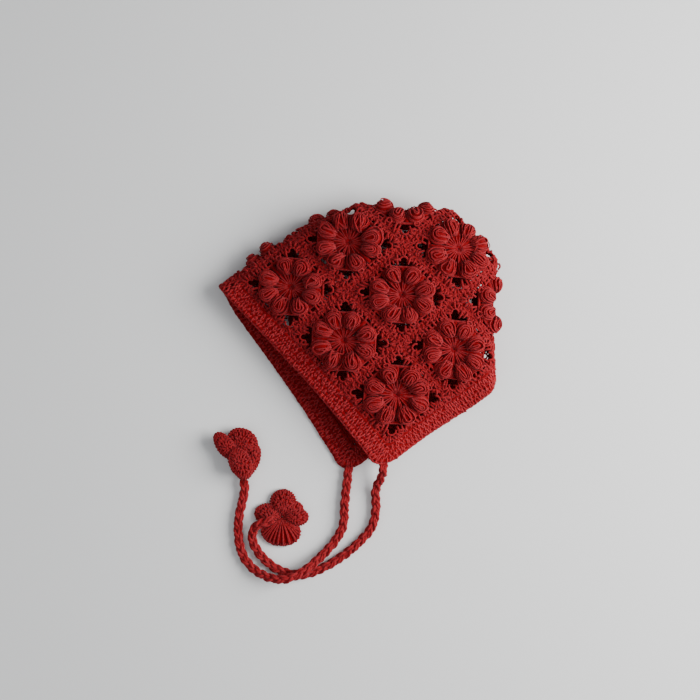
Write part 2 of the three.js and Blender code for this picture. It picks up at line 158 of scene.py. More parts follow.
def cloth(side, p, q):
    """Middle of the fabric at (p, q), with side 1 on the upper layer and -1 on the lower.

    The cloth runs flat up to a fold, turns round it in a half circle as wide as the
    loft, and goes on as the other layer. A place past the top, crown or nape fold is
    mirrored back onto the other layer first. Its distance off the folds is (the sum of
    d^-4)^(-1/4) over the four distances d, and the way in from them is their directions
    with the weights (d^2 + FOLD_BLEND^2)^(-5/2), so both are smooth where folds meet.
    With bend half the loft and turn = off / bend, up to a quarter turn, the cloth
    stands bend * (1 + side * sin turn) over where the lower layer rests, and is drawn
    in by bend * (pi/2 - turn - cos turn). The lower layer slides out at the chin, more
    the nearer it is to the chin and the face edge.
    """
    side, p, q = (np.array(v, float) for v in np.broadcast_arrays(side, p, q))
    over = q > p + HEAD_TOP
    side = np.where(over, -side, side)
    p, q = np.where(over, q - HEAD_TOP, p), np.where(over, p + HEAD_TOP, q)
    over = p + q > NAPE
    side = np.where(over, -side, side)
    p, q = np.where(over, NAPE - q, p), np.where(over, NAPE - p, q)
    roll = ROLL * (1 - smooth((q - ROLL_FROM) / (ROLL_TO - ROLL_FROM)))
    over = p < -side * roll
    side, p = np.where(over, -side, side), np.where(over, -p, p)

    slant = math.sqrt(0.5)
    offs = np.stack([
        p + side * roll,
        (p + HEAD_TOP - q) * slant,
        CHIN - q,
        (NAPE - p - q) * slant,
    ])
    hair = 1e-6
    offs = np.maximum(offs, hair)
    off = np.sum(offs ** -4.0, axis=0) ** -0.25
    near = np.hypot(offs, FOLD_BLEND) ** -5.0
    in_x = near[0] + (near[1] - near[3]) * slant
    in_y = -near[2] - (near[1] + near[3]) * slant
    long = np.hypot(in_x, in_y)
    in_x, in_y = in_x / long, in_y / long

    flat_x = p + (side - 1) * roll
    reach = np.hypot(off, FOLD_BLEND) - off
    at_x, at_y = flat_x + in_x * reach, q + in_y * reach
    bend = lying(LOFT, at_x, at_y) / 2
    turn = np.minimum(off / bend, math.pi / 2)
    inset = bend * (math.pi / 2 - turn - np.cos(turn))
    slides = np.where(side < 0, smooth(off / SLIP_BLEND), 0)
    share = np.maximum(p / CHIN, 0) * np.maximum(1 - q / CHIN, 0) * slides
    hem = np.minimum(at_y, CHIN - at_x)
    rest = HEM_DROP + (LIES_AT - HEM_DROP) * smooth((hem + BORDER) / (BORDER + FOLD_BLEND))
    return np.stack([
        flat_x + in_x * inset + lying(TO_NECK, at_x, at_y) + CHIN_AHEAD * share,
        q + in_y * inset + lying(TO_BACK, at_x, at_y) - CHIN_SLIP * share,
        rest + bend * (1 + side * np.sin(turn)),
    ], axis=-1)


def sew(side, paths):
    """Points of paths (p, q, h): the cloth plus its outward normal times h."""
    p, q, h = paths[..., 0], paths[..., 1], paths[..., 2]
    step = 0.05
    along = cloth(side, p + step, q) - cloth(side, p - step, q)
    across = cloth(side, p, q + step) - cloth(side, p, q - step)
    out = np.cross(along, across)
    out /= np.linalg.norm(out, axis=-1, keepdims=True)
    return cloth(side, p, q) + out * side * h[..., None]


def unit(vectors):
    """Vectors divided by their lengths."""
    return vectors / np.maximum(np.linalg.norm(vectors, axis=-1, keepdims=True), 1e-9)


# How far the end of a strand stands out beyond its last ring, as a share of its radius
END_CAP = 0.6


def tubes(points, ups, radius, sides=5, closed=False):
    """Round tubes along many paths at once.

    points and ups are (paths, stations, 3). A ring is centre + radius * (cos a *
    aside + sin a * up), where up is ups made square to the path. Ends close in a
    pole. Returns vertices, quads, triangles, and the uv of their corners: u is the
    length along the path and v the share of the way round.
    """
    count, stations = points.shape[:2]
    radius = np.broadcast_to(radius, (count, stations))
    if closed:
        ahead = np.roll(points, -1, axis=1) - np.roll(points, 1, axis=1)
    else:
        ahead = np.gradient(points, axis=1)
    ahead = unit(ahead)
    up = unit(ups - ahead * np.sum(ups * ahead, axis=-1, keepdims=True))
    aside = np.cross(ahead, up)
    turn = 2 * math.pi * np.arange(sides) / sides
    ring = np.cos(turn)[:, None] * aside[:, :, None] + np.sin(turn)[:, None] * up[:, :, None]
    verts = (points[:, :, None] + radius[:, :, None, None] * ring).reshape(-1, 3)

    spans = stations if closed else stations - 1
    path, span, k = np.meshgrid(np.arange(count), np.arange(spans), np.arange(sides), indexing="ij")
    here = (path * stations + span) * sides
    there = (path * stations + (span + 1) % stations) * sides
    quads = np.stack([here + k, here + (k + 1) % sides,
                      there + (k + 1) % sides, there + k], axis=-1).reshape(-1, 4)
    gone = np.linalg.norm(np.diff(points, axis=1, append=points[:, :1]), axis=-1)
    length = np.concatenate([np.zeros((count, 1)), np.cumsum(gone, axis=1)], axis=1)
    u0, u1 = length[path, span], length[path, span + 1]
    v0, v1 = k / sides, (k + 1) / sides
    quad_uv = np.stack([np.stack([u0, v0], -1), np.stack([u0, v1], -1),
                        np.stack([u1, v1], -1), np.stack([u1, v0], -1)], axis=-2).reshape(-1, 4, 2)
    if closed:
        return verts, quads, np.zeros((0, 3), int), quad_uv, np.zeros((0, 3, 2))

    first = count * stations * sides
    poles = np.concatenate([points[:, 0] - ahead[:, 0] * radius[:, :1] * END_CAP,
                            points[:, -1] + ahead[:, -1] * radius[:, -1:] * END_CAP])
    verts = np.concatenate([verts, poles])
    path, k = np.meshgrid(np.arange(count), np.arange(sides), indexing="ij")
    start = path * stations * sides
    end = start + (stations - 1) * sides
    tris = np.concatenate([
        np.stack([first + path, start + (k + 1) % sides, start + k], axis=-1).reshape(-1, 3),
        np.stack([first + count + path, end + k, end + (k + 1) % sides], axis=-1).reshape(-1, 3),
    ])
    around = np.stack([(k + 0.5) / sides, (k + 1) / sides, k / sides], axis=-1).reshape(-1, 3)
    end_u = np.repeat(length[:, stations - 1], sides)[:, None] + 0 * around
    tri_uv = np.concatenate([
        np.stack([np.zeros_like(around), around], -1),
        np.stack([end_u, around[:, [0, 2, 1]]], -1),
    ])
    return verts, quads, tris, quad_uv, tri_uv


def with_shade(part, start, share):
    """The same arrays with v begun at start and run over this share of the way round.

    The wool takes its shade from v: it is lightest on top, where v is a quarter, and
    darkest at the underside, where v is three quarters.
    """
    verts, quads, tris, quad_uv, tri_uv = part
    return verts, quads, tris, quad_uv * [1, share] + [0, start], tri_uv * [1, share] + [0, start]


def shaded(part):
    """The same arrays with every v at the underside, so that the wool looks shaded."""
    return with_shade(part, 0.75, 0)


def dimmed(part):
    """The same arrays with every v near the flank, so that the wool looks half shaded."""
    return with_shade(part, 0.43, 0.1)


def gather(parts):
    """One set of arrays from many, with their vertex numbers moved on."""
    firsts = np.cumsum([0] + [len(verts) for verts, *_ in parts])
    moved = [(verts, quads + first, tris + first, quad_uv, tri_uv)
             for (verts, quads, tris, quad_uv, tri_uv), first in zip(parts, firsts)]
    return tuple(np.concatenate(group) for group in zip(*moved))


def make_piece(name, parts, material, node):
    """A mesh object from arrays in millimetres, pressed flat where it meets the floor."""
    verts, quads, tris, quad_uv, tri_uv = gather(parts)
    verts = (verts + ORIGIN) * MM
    verts[:, 2] = np.maximum(verts[:, 2], 0)
    corners = np.concatenate([quads.ravel(), tris.ravel()])
    starts = np.concatenate([4 * np.arange(len(quads)), quads.size + 3 * np.arange(len(tris))])
    mesh = bpy.data.meshes.new(name)
    mesh.vertices.add(len(verts))
    mesh.vertices.foreach_set("co", verts.ravel())
    mesh.loops.add(len(corners))
    mesh.loops.foreach_set("vertex_index", corners)
    mesh.polygons.add(len(starts))
    mesh.polygons.foreach_set("loop_start", starts)
    mesh.update(calc_edges=True)
    corner_uv = np.concatenate([quad_uv.reshape(-1, 2), tri_uv.reshape(-1, 2)])
    layer = mesh.uv_layers.new(name="yarn")
    layer.data.foreach_set("uv", corner_uv.ravel())
    mesh.polygons.foreach_set("use_smooth", np.ones(len(starts), bool))
    mesh.materials.append(material)
    piece = bpy.data.objects.new(name, mesh)
    bpy.context.scene.collection.objects.link(piece)
    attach(piece, "root")
    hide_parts(node)
    return piece


# How high a strand's middle keeps off the floor, as a share of its radius
PRESSED = 0.55


def strands(side, paths, ups, radius, sides=5, closed=False):
    """Tubes along paths (p, q, h) on the cloth, with ups given in (p, q, h) too."""
    step = 0.3
    points = sew(side, paths)
    above = sew(side, paths + step * ups)
    points[..., 2] = np.maximum(points[..., 2], PRESSED * np.max(radius))
    return tubes(points, above - points, radius, sides, closed)


def twisted(paths, ups, wide, pitch, phase, plies=2):
    """Plies wound round paths (x, y, z): centre + wide * (cos a * aside + sin a * up).

    The angle a grows by one turn in every pitch of length. Returns the plies and
    their ups.
    """
    ahead = unit(np.gradient(paths, axis=1))
    up = unit(ups - ahead * np.sum(ups * ahead, axis=-1, keepdims=True))
    aside = np.cross(ahead, up)
    gone = np.linalg.norm(np.diff(paths, axis=1, prepend=paths[:, :1]), axis=-1)
    turn = 2 * math.pi * np.cumsum(gone, axis=1) / pitch + phase[:, None]
    wound, rise = [], []
    for ply in range(plies):
        a = (turn + 2 * math.pi * ply / plies)[..., None]
        arm = np.cos(a) * aside + np.sin(a) * up
        wound.append(paths + wide * arm)
        rise.append(arm)
    return np.concatenate(wound), np.concatenate(rise)


def links(centres, along, across, length, width, tilt, stations=10):
    """Loops of a chain, one at each centre: an egg with its wide end ahead.

    It is centre + along * length/2 * cos t + across * width/2 * sin t * (1 + 0.4 cos t),
    and its far end lies tilt over its middle and its near end tilt under it.
    """
    t = 2 * math.pi * np.arange(stations) / stations
    loop = (along[:, None] * (length / 2 * np.cos(t))[:, None]
            + across[:, None] * (width / 2 * np.sin(t) * (1 + 0.4 * np.cos(t)))[:, None])
    loop[..., 2] += tilt * np.cos(t)
    return centres[:, None] + loop


UP = np.array([0.0, 0.0, 1.0])
PETALS = 8

# A puffed petal: how far its middle is from the eye, its reach outwards and inwards, half
# its width, and its height over the middle of the cloth and under it
PUFF_AT = 16.6
PUFF_OUT = 5.4
PUFF_IN = 7.4
PUFF_WIDE = 5.5
PUFF_TOP = 6.6
PUFF_UNDER = 1.1

# The legs of its loops, which run in to where the petal starts: the shares that they lose
# on the way of the width and of the square of the height, and how high the petal starts
LEG_NARROWS = 0.86
LEG_SINKS = 0.96
LEG_START = 0.9

# How much of a petal its core fills
CORE = 0.95

# Posts of the mesh from a petal's tip to the side: start and end, out and along
POSTS = np.array([
    ((20.0, 2.6), (24.0, 1.8)),
    ((20.4, 5.2), (24.2, 4.6)),
    ((20.9, 7.6), (24.3, 7.6)),
    ((20.6, 9.8), (24.2, 10.4)),
    ((19.6, 11.8), (24.2, 13.2)),
    ((18.0, 13.4), (24.0, 16.4)),
])

# The middle of the hole at a corner, both ways from the eye, how far out the mesh runs,
# and how far from the eye the chain passes the petals' tips
HOLE_AT = 18.4
MESH_TO = 24.4
CHAIN_AT = 21.8


def laid(places):
    """Places or directions (x, y) with a height of 0."""
    return np.concatenate([places, np.zeros((*places.shape[:-1], 1))], axis=-1)


def petal_angles(places):
    """Directions from the eye in radians, at places counted in petals from the first."""
    return np.radians(180 / PETALS + 360 / PETALS * places)


def puffs(rng):
    """Of each petal: size and height, both about 1, and its direction from the eye."""
    turn = petal_angles(np.arange(PETALS)) + rng.normal(0, 0.055, PETALS)
    return 1 + rng.normal(0, 0.06, PETALS), 1 + rng.normal(0, 0.09, PETALS), turn


def petals(rng, shapes, yarn, count):
    """The strands of the petals: nested loops, drawn up from the flower and back to it.

    A loop lies at angle s from the top of the petal. Its outer half is the circle of
    latitude there: outwards PUFF_OUT sin s cos a, across PUFF_WIDE sin s sin a and
    PUFF_TOP cos s high, or PUFF_UNDER cos s below. Its legs run back to where the petal
    starts, as 1 - LEG_NARROWS t^2 across and sqrt(1 - LEG_SINKS t^2) in height. Each
    loop wavers across by a sine of its own, stands off a little and is twisted about
    the petal's middle.
    """
    size, tall, turn = (values[:, None, None] for values in shapes)
    stand = np.radians(np.append(np.linspace(10, 92, count), 116))[None, :, None]
    stand = stand + rng.normal(0, 0.08, (PETALS, count + 1, 1))
    way = np.linspace(-1, 1, 21)
    bend = np.clip(way * 2, -1, 1) * math.pi / 2
    leg = np.clip(np.abs(way) * 2 - 1, 0, 1)
    waver = rng.normal(0, 0.42, stand.shape) * np.sin(5 * way + rng.uniform(0, 6.3, stand.shape))
    loose = np.abs(rng.normal(0, 0.3, stand.shape))
    narrow = np.where(leg > 0, 1 - LEG_NARROWS * leg ** 2, np.abs(np.sin(bend)))
    across = ((PUFF_WIDE * size + loose) * np.sin(stand)) * np.sign(way) * narrow + waver
    outwards = np.where(leg > 0, -PUFF_IN * leg, PUFF_OUT * size * np.sin(stand) * np.cos(bend))
    height = np.where(np.cos(stand) > 0, PUFF_TOP * tall + loose, PUFF_UNDER) * np.cos(stand)
    height = height * np.sqrt(1 - LEG_SINKS * leg ** 2) + LEG_START * leg
    twist = rng.normal(0, 0.2, stand.shape)
    outwards, across = outwards - across * twist, across + outwards * twist
    far = PUFF_AT + outwards
    paths = np.stack([far * np.cos(turn) - across * np.sin(turn),
                      far * np.sin(turn) + across * np.cos(turn), height], axis=-1)
    middle = np.stack([PUFF_AT * np.cos(turn), PUFF_AT * np.sin(turn), 0.8 + 0 * turn], axis=-1)
    ups = unit((paths - middle) * [1, 1, 1.2])
    stations = len(way)
    radius = yarn * rng.uniform(0.23, 0.36, (PETALS * (count + 1), 1))
    return paths.reshape(-1, stations, 3), ups.reshape(-1, stations, 3), radius


def cores(side, centre, shapes):
    """A closed core in each petal, which its strands lie on.

    It is a ball whose half towards the eye narrows as the loops do, drawn out to the
    reach, width and height of the petal.
    """
    x = np.sin(np.linspace(-1.45, 1.45, 11))
    rail = np.stack([x, 0 * x, 0 * x], axis=-1)[None]
    thin = 0.01
    verts, quads, tris, quad_uv, tri_uv = tubes(rail, UP, thin, 14)
    x, y, z = verts[:, 0], verts[:, 1] / thin, verts[:, 2] / thin
    tip = np.sqrt(np.maximum(1 - x ** 2, 0))
    y = CORE * PUFF_WIDE * y * np.where(x > 0, tip, 1 - LEG_NARROWS * x ** 2)
    z = z * np.where(x > 0, tip, np.sqrt(np.maximum(1 - LEG_SINKS * x ** 2, 0)))
    z = np.where(z > 0, CORE * PUFF_TOP, PUFF_UNDER) * z
    x = CORE * x * np.where(x > 0, PUFF_OUT, PUFF_IN)
    parts = []
    for size, tall, turn in zip(*shapes):
        far = PUFF_AT + x * np.where(x > 0, size, 1)
        places = np.stack([far * math.cos(turn) - y * size * math.sin(turn),
                           far * math.sin(turn) + y * size * math.cos(turn),
                           z * tall + LEG_START * np.maximum(-x / PUFF_IN, 0)], axis=-1)
        way = -1 if side < 0 else 1
        parts.append((sew(side, centre + places), quads[:, ::way], tris[:, ::way],
                      quad_uv[:, ::way], tri_uv[:, ::way]))
    return gather(parts)


def spokes(rng, count, start, end, low, high):
    """Paths from the eye outwards on all sides, which rise from low to high by a sine."""
    turn = 2 * math.pi * np.arange(count) / count + rng.normal(0, 0.05, count)
    share = np.linspace(0, 1, 7)
    far = start + (end - start) * share
    rise = low + (high - low) * np.sin(math.pi / 2 * share) + rng.normal(0, 0.1, (count, 1))
    return np.stack([far * np.cos(turn)[:, None], far * np.sin(turn)[:, None], rise], axis=-1)


def quarters(places):
    """Places (x, y) of one side of a square, repeated on its four sides."""
    turn = np.arange(4) * math.pi / 2
    spin = np.stack([np.stack([np.cos(turn), -np.sin(turn)], -1),
                     np.stack([np.sin(turn), np.cos(turn)], -1)], -2)
    return np.einsum("qij,...j->q...i", spin, places).reshape(-1, *places.shape[1:])


def round_hole(reach, turn):
    """Places (x, y) about the middle of a corner's hole, at a distance and an angle."""
    return np.stack([HOLE_AT + reach * np.cos(turn), HOLE_AT + reach * np.sin(turn)], axis=-1)


def mesh_paths(rng):
    """Paths of the posts of the mesh in (x, y, h), on all sides of the square.

    The posts fan out from the petal tips, as straight lines whose ends are strewn a
    little and which rise by a half sine. Between two petals they leave a hole in the
    middle of the side.
    """
    t = np.linspace(0, 1, 7)[:, None]
    ends = quarters(np.concatenate([POSTS, POSTS * [1, -1]]))
    ends = ends + rng.normal(0, 0.65, ends.shape)
    flat = ends[:, 0, None] + (ends[:, 1] - ends[:, 0])[:, None] * t
    rise = 0.4 + 1.2 * np.sin(math.pi * t) + rng.normal(0, 0.5, (len(ends), 1, 1))
    return np.concatenate([flat, rise + 0 * flat[..., :1]], axis=-1)


def corner_paths(rng):
    """Paths at the corners in (x, y, h), which rise by a half sine.

    They are posts that fan out round the hole, and the arch that these stand on.
    """
    t = np.linspace(0, 1, 7)
    fan = round_hole(3.1 + 4.5 * t, np.radians([-52, -26, 2, 31, 59, 88, 116, 142])[:, None])
    arch = round_hole(2.6, np.radians(np.linspace(-60, 150, 7)))
    flat = quarters(np.concatenate([fan, arch[None]]))
    flat = flat + rng.normal(0, 0.5, (len(flat), 1, 2))
    rise = 0.5 + 1.1 * np.sin(math.pi * t) + rng.normal(0, 0.5, (len(flat), 1))
    return np.concatenate([np.clip(flat, -MESH_TO, MESH_TO), rise[..., None]], axis=-1)


def petal_parts(rng, side, centre, yarn, count):
    """The puffed petals of a square, of count loops and one more under them, on cores painted in shade.
    """
    shapes = puffs(rng)
    paths, ups, radius = petals(rng, shapes, yarn, count)
    return [strands(side, centre + paths, ups, radius), shaded(cores(side, centre, shapes))]


def eye_parts(rng, side, centre, yarn):
    """The sunk eye of a square: fine spokes, and a shaded bed of thick ones under them."""
    fine = spokes(rng, 24, start=2.3, end=10.4, low=0.3, high=1.7)
    thick = spokes(rng, 16, start=1.0, end=19.4, low=-1.0, high=0.5)
    return [strands(side, centre + fine, UP, yarn * 0.24),
            shaded(strands(side, centre + thick, UP, 1.5, 6))]


def mesh_parts(rng, side, centre, yarn):
    """The mesh of a square in painted half shade, and a shaded arch under it round each corner's hole.
    """
    paths = np.concatenate([mesh_paths(rng), corner_paths(rng)])
    arch = round_hole(5.4, np.radians(np.linspace(-58, 148, 9)))
    under = laid(quarters(arch[None]))
    return [dimmed(strands(side, centre + paths, UP, yarn * 0.47, 6)),
            shaded(strands(side, centre + under, UP, 0.9, 6))]


def chain_parts(rng, side, centre, yarn):
    """The chain that joins the petal tips of a square, with a knot on each tip.

    Between two tips it dips inwards and down by |sin 4a|, painted half shaded, over a shaded strand.
    """
    turn = petal_angles(np.arange(PETALS)[:, None] + np.linspace(0, 1, 11)[None])
    dip = np.abs(np.sin(4 * (turn - math.pi / 8)))
    far = CHAIN_AT + rng.normal(0, 0.4, (PETALS, 1)) - 1.5 * dip
    arcs = np.stack([far * np.cos(turn), far * np.sin(turn), 1.5 - 0.7 * dip], axis=-1)
    parts = [dimmed(strands(side, centre + arcs, UP, yarn * 0.45)),
             shaded(strands(side, centre + arcs * [0.98, 0.98, 0.1], UP, 1.1))]

    turn = petal_angles(np.arange(PETALS)) + rng.normal(0, 0.05, PETALS)
    out = np.stack([np.cos(turn), np.sin(turn)], axis=-1)
    over = np.stack([-np.sin(turn), np.cos(turn)], axis=-1)
    rise = 2.4 + rng.normal(0, 0.3, PETALS)
    tips = np.concatenate([(CHAIN_AT + 0.1) * out, rise[:, None]], axis=-1)
    knots = links(tips, laid(out), laid(over), length=3.0, width=3.4, tilt=-0.7)
    parts.append(strands(side, centre + knots, UP, yarn * 0.40, closed=True))
    return parts


def edge_parts(rng, side, centre, yarn, stitch):
    """The outer row of a square: a chain along each side in painted half shade, over a shaded strand."""
    wide = SQUARE - SEAM
    count = round(SQUARE / stitch / METRE)
    places = (np.arange(count) + 0.5) / count * wide - wide / 2
    rail = np.stack([wide / 2 - 1.0 + 0 * places, places * 0.97], axis=-1)
    parts = [shaded(strands(side, centre + laid(quarters(rail[None])), UP, 0.75))]
    for quarter in range(4):
        c, s = math.cos(quarter * math.pi / 2), math.sin(quarter * math.pi / 2)
        edge = wide / 2 - 1.2 + rng.normal(0, 0.2, count)
        rise = 0.5 + rng.normal(0, 0.25, count)
        at = np.stack([c * edge - s * places, s * edge + c * places, rise], axis=-1)
        along = np.broadcast_to(np.array([-s, c, 0.0]), at.shape)
        across = np.broadcast_to(np.array([c, s, 0.0]), at.shape)
        loops = links(at, along, across, length=1.6 * SQUARE / count, width=2.2, tilt=0.6)
        parts.append(dimmed(strands(side, centre + loops, UP, yarn * 0.44, closed=True)))
    return parts


def square_parts(rng, side, p, q, sizes):
    """All yarn of one flower square centred at (p, q)."""
    centre = np.array([p, q, 0.0])
    yarn = sizes.yarn * METRE
    return [
        *petal_parts(rng, side, centre, yarn, sizes.petal_loops),
        *eye_parts(rng, side, centre, yarn),
        *mesh_parts(rng, side, centre, yarn),
        *chain_parts(rng, side, centre, yarn),
        *edge_parts(rng, side, centre, yarn, sizes.stitch),
    ]


def border_row(depth, pitch):
    """Places of the stitches in one row of the border, depth off the seam.

    The row runs along the face edge, round the chin in a quarter circle about the
    corner, and along the neck to the fold at the nape. Returns the places in (p, q, h),
    the directions away from the seam, and those along the row.
    """
    face, bend, neck = CHIN, depth * math.pi / 2, HEAD_TOP - depth
    total = face + bend + neck
    count = max(round(total / pitch), 1)
    at = (np.arange(count) + 0.5) / count * total
    turn = np.clip((at - face) / bend, 0, 1) * math.pi / 2
    out = np.stack([np.sin(turn), -np.cos(turn)], axis=-1)
    seam = np.stack([np.minimum(at, face), np.maximum(at - face - bend, 0)], axis=-1)
    along = np.stack([-out[:, 1], out[:, 0]], axis=-1)
    return laid(seam + depth * out), laid(out), laid(along)


def border_bed(side, rows):
    """The bed that closes the gaps between the stitches: thick shaded strands side by side."""
    first, span = 0.7, BORDER - 2.3
    parts = []
    for row in range(rows + 1):
        at = border_row(first + row / rows * span, 3.4)[0]
        parts.append(shaded(strands(side, at[None], UP, 1.75, 8)))
    return parts


def border_stitches(rng, side, row, tall, yarn, pitch):
    """One row of single crochet on both faces: a V of two strands for every stitch.

    A leg of the V runs from the foot of its stitch to one side of its head, and bows
    outwards by a half sine. Every second row points the other way and is set off by a
    quarter of a stitch.
    """
    at, out, along = border_row(0.4 + (row + 0.5) * tall, pitch)
    at = (at + 0.25 * pitch * (row % 2) * along)[:, None]
    out, along = out[:, None], along[:, None]
    way = 1 if row % 2 else -1
    t = np.linspace(0, 1, 6)[:, None]
    fat = yarn * (0.32 + 0.10 * np.sin(math.pi * t[:, 0]))
    parts = []
    for face in (1, -1):
        bow = face * (0.8 + 0.7 * np.sin(math.pi * (0.1 + 0.8 * t)))
        for leg in (1, -1):
            foot = at + rng.normal(0, 0.42, at.shape) * [1, 1, 0.4]
            spread = leg * (0.17 + (0.30 + rng.normal(0, 0.08, (len(at), 1, 1))) * t) * pitch
            reach = (t - 0.5) * tall * (1.15 + rng.normal(0, 0.15, (len(at), 1, 1)))
            legs = foot + along * spread + out * reach * way + UP * bow
            parts.append(strands(side, legs, UP * face, fat))
    return parts


def border_chain(rng, side, yarn, pitch):
    """The chain along the edge of the border."""
    at, out, along = border_row(BORDER - 0.9, pitch)
    centres = at + rng.normal(0, 0.1, at.shape)
    loops = links(centres, along, out, length=pitch * 1.75, width=2.0, tilt=0.6)
    return strands(side, loops, UP, yarn * 0.48, closed=True)


def border_parts(rng, sizes):
    """All yarn of the border: a bed, rows of single crochet and a chain on each layer."""
    yarn = sizes.yarn * METRE
    pitch = sizes.stitch * METRE
    rows = sizes.border_rows
    tall = (BORDER - 1.0) / rows
    parts = []
    for side in (1.0, -1.0):
        parts += border_bed(side, rows)
        for row in range(rows):
            parts += border_stitches(rng, side, row, tall, yarn, pitch)
        parts.append(border_chain(rng, side, yarn, pitch))
    return parts


def chin_exit(side):
    """Where a tie leaves its chin corner: just off the middle of the cut."""
    near, far = CHIN_CUT
    start = cloth(side, CHIN + near * BORDER, -far * BORDER)
    end = cloth(side, CHIN + far * BORDER, -near * BORDER)
    out = unit(np.array([end[1] - start[1], start[0] - end[0], 0.0]))
    return (start + end) / 2 + out * SEAM


def tie_route(side, offsets):
    """The points that a tie follows: its offsets from where it leaves its chin corner."""
    exit_at = chin_exit(side)
    return np.concatenate([exit_at[:2] + offsets[:, :2], offsets[:, 2:]], axis=1)


def along_route(route, spacing):
    """Even points on the centripetal Catmull-Rom curve through a route."""
    ends = np.concatenate([2 * route[:1] - route[1:2], route, 2 * route[-1:] - route[-2:-1]])
    knots = np.sqrt(np.linalg.norm(np.diff(ends, axis=0), axis=1))[:, None]
    d0, d1, d2 = knots[:-2], knots[1:-1], knots[2:]
    x0, x1, x2, x3 = ends[:-3], ends[1:-2], ends[2:-1], ends[3:]
    m1 = ((x1 - x0) / d0 - (x2 - x0) / (d0 + d1) + (x2 - x1) / d1) * d1
    m2 = ((x2 - x1) / d1 - (x3 - x1) / (d1 + d2) + (x3 - x2) / d2) * d1
    t = np.linspace(0, 1, 24, endpoint=False)[:, None, None]
    curve = ((2 * t ** 3 - 3 * t ** 2 + 1) * x1 + (t ** 3 - 2 * t ** 2 + t) * m1
             + (3 * t ** 2 - 2 * t ** 3) * x2 + (t ** 3 - t ** 2) * m2)
    curve = np.concatenate([curve.transpose(1, 0, 2).reshape(-1, 3), route[-1:]])
    gone = np.concatenate([[0], np.cumsum(np.linalg.norm(np.diff(curve, axis=0), axis=1))])
    even = np.linspace(0, gone[-1], round(gone[-1] / spacing) + 1)
    return np.stack([np.interp(even, gone, curve[:, k]) for k in range(3)], axis=-1)


def braid(path, thick, pitch):
    """Three strands plaited along a path: aside by sin a, up by 0.62 sin 2a, a turn a pitch.

    Each strand is wound from three plies of its own.
    """
    ahead = unit(np.gradient(path, axis=0))
    aside = unit(np.cross(ahead, UP))
    up = np.cross(aside, ahead)
    gone = np.concatenate([[0], np.cumsum(np.linalg.norm(np.diff(path, axis=0), axis=1))])
    strand = thick * 0.25
    across = thick / 2 - strand
    parts = []
    for k in range(3):
        a = (2 * math.pi * (gone / pitch + k / 3))[:, None]
        middle = path + aside * across * np.sin(a) + up * across * 0.62 * np.sin(2 * a)
        wound, lift = twisted(middle[None], up[None], wide=strand * 0.46, pitch=pitch * 0.9,
                              phase=np.array([k * 1.3]), plies=3)
        wound[..., 2] = np.maximum(wound[..., 2], strand * 0.4)
        parts.append(tubes(wound, lift, strand * 0.62, 6))
    return parts


# Radius of the open flower, as the part has it, and the share of it from the tie's end
# to the flower's middle
OPEN_RADIUS = 19.5
OPEN_AHEAD = 0.34

# Petals of the open flower: degrees from the tie, reach from its middle, width and height
OPEN_PETALS = np.array([
    (68.0, 22.0, 28.0, 6.2),
    (160.0, 19.2, 12.0, 7.4),
    (189.0, 16.5, 13.0, 6.0),
    (248.0, 19.6, 18.0, 6.6),
    (335.0, 20.2, 14.0, 5.8),
])

# Petals of the folded flower: where each starts and ends, ahead of the tie and to its
# left, its width, the height of its rim and how far it stands above that
BUD_PETALS = np.array([
    (-0.5, 0.4, 12.0, 0.6, 11.0, 1.6, 5.0),
    (3.0, -1.6, 23.6, -8.6, 10.0, 5.0, 4.6),
    (2.5, 2.0, 18.0, 8.0, 10.0, 3.5, 4.0),
    (19.0, 6.0, 33.9, -3.0, 22.5, 5.5, 4.4),
    (14.6, 6.6, 32.0, 20.4, 11.0, 8.5, 4.0),
    (21.4, 7.4, 1.8, -2.6, 14.6, 12.0, 3.4),
])


def ribbed_rows(rng, half, yarn):
    """Strands (x, y) of a ribbed petal in shares of its oval, and their thickness.

    A strand is the quadratic curve from the base to the outline at angle a, by way of
    (0.25 cos a - 0.25, 0.72 sin a), and is thicker once in every stitch.
    """
    stitch = 2.6
    count = 2 * round(half * 3.4 / yarn / 2) + 1
    reach = np.radians(np.linspace(-152, 152, count)) + rng.normal(0, 0.05, count)
    t = np.linspace(0, 1, 25)[:, None]
    ends = np.stack([np.cos(reach), np.sin(reach)], axis=-1)[:, None]
    bends = np.stack([0.25 * np.cos(reach) - 0.25, 0.72 * np.sin(reach)], axis=-1)[:, None]
    flat = (1 - t) ** 2 * np.array([-0.92, 0.0]) + 2 * t * (1 - t) * bends + t ** 2 * ends
    swell = math.pi * half * 2 * t[:, 0] / stitch + rng.normal(0, 0.8, (count, 1))
    return flat, (0.5 + 0.5 * np.abs(np.sin(swell))) * (0.3 + 1.2 * t[:, 0])


def stitched_rows(rng, half):
    """Legs (x, y) of a petal's stitches in shares of its oval, and their thickness.

    The rows run round a place near the base, two leaning legs to a stitch. The angle
    and the distance from that place both change evenly along a leg.
    """
    row_tall, leg_wide = 2.1, 2.7
    rows = max(round(half / row_tall), 2)
    counts = [max(2 * round(2 * math.pi * half * (row + 0.5) / rows / leg_wide), 4)
              for row in range(rows)]
    level = np.repeat((np.arange(rows) + 0.5) / rows, counts)[:, None]
    leg = np.concatenate([np.arange(count) for count in counts])
    turn = 2 * math.pi * (leg + 0.5) / np.repeat(counts, counts)
    t = np.linspace(-0.5, 0.5, 5)
    lean = np.where(leg % 2, 1, -1) * 0.55 / np.repeat(np.arange(rows) + 1, counts)
    turn = (turn + rng.normal(0, 0.06, len(leg)))[:, None] + lean[:, None] * t
    out = level + (t * 1.2 + rng.normal(0, 0.12, (len(leg), 1))) / rows
    flat = out[..., None] * np.stack([np.cos(turn), np.sin(turn)], axis=-1)
    flat = flat + (1 - level[..., None]) * np.array([-0.3, 0.0])
    return flat, np.cos(math.pi * t) + 0 * turn


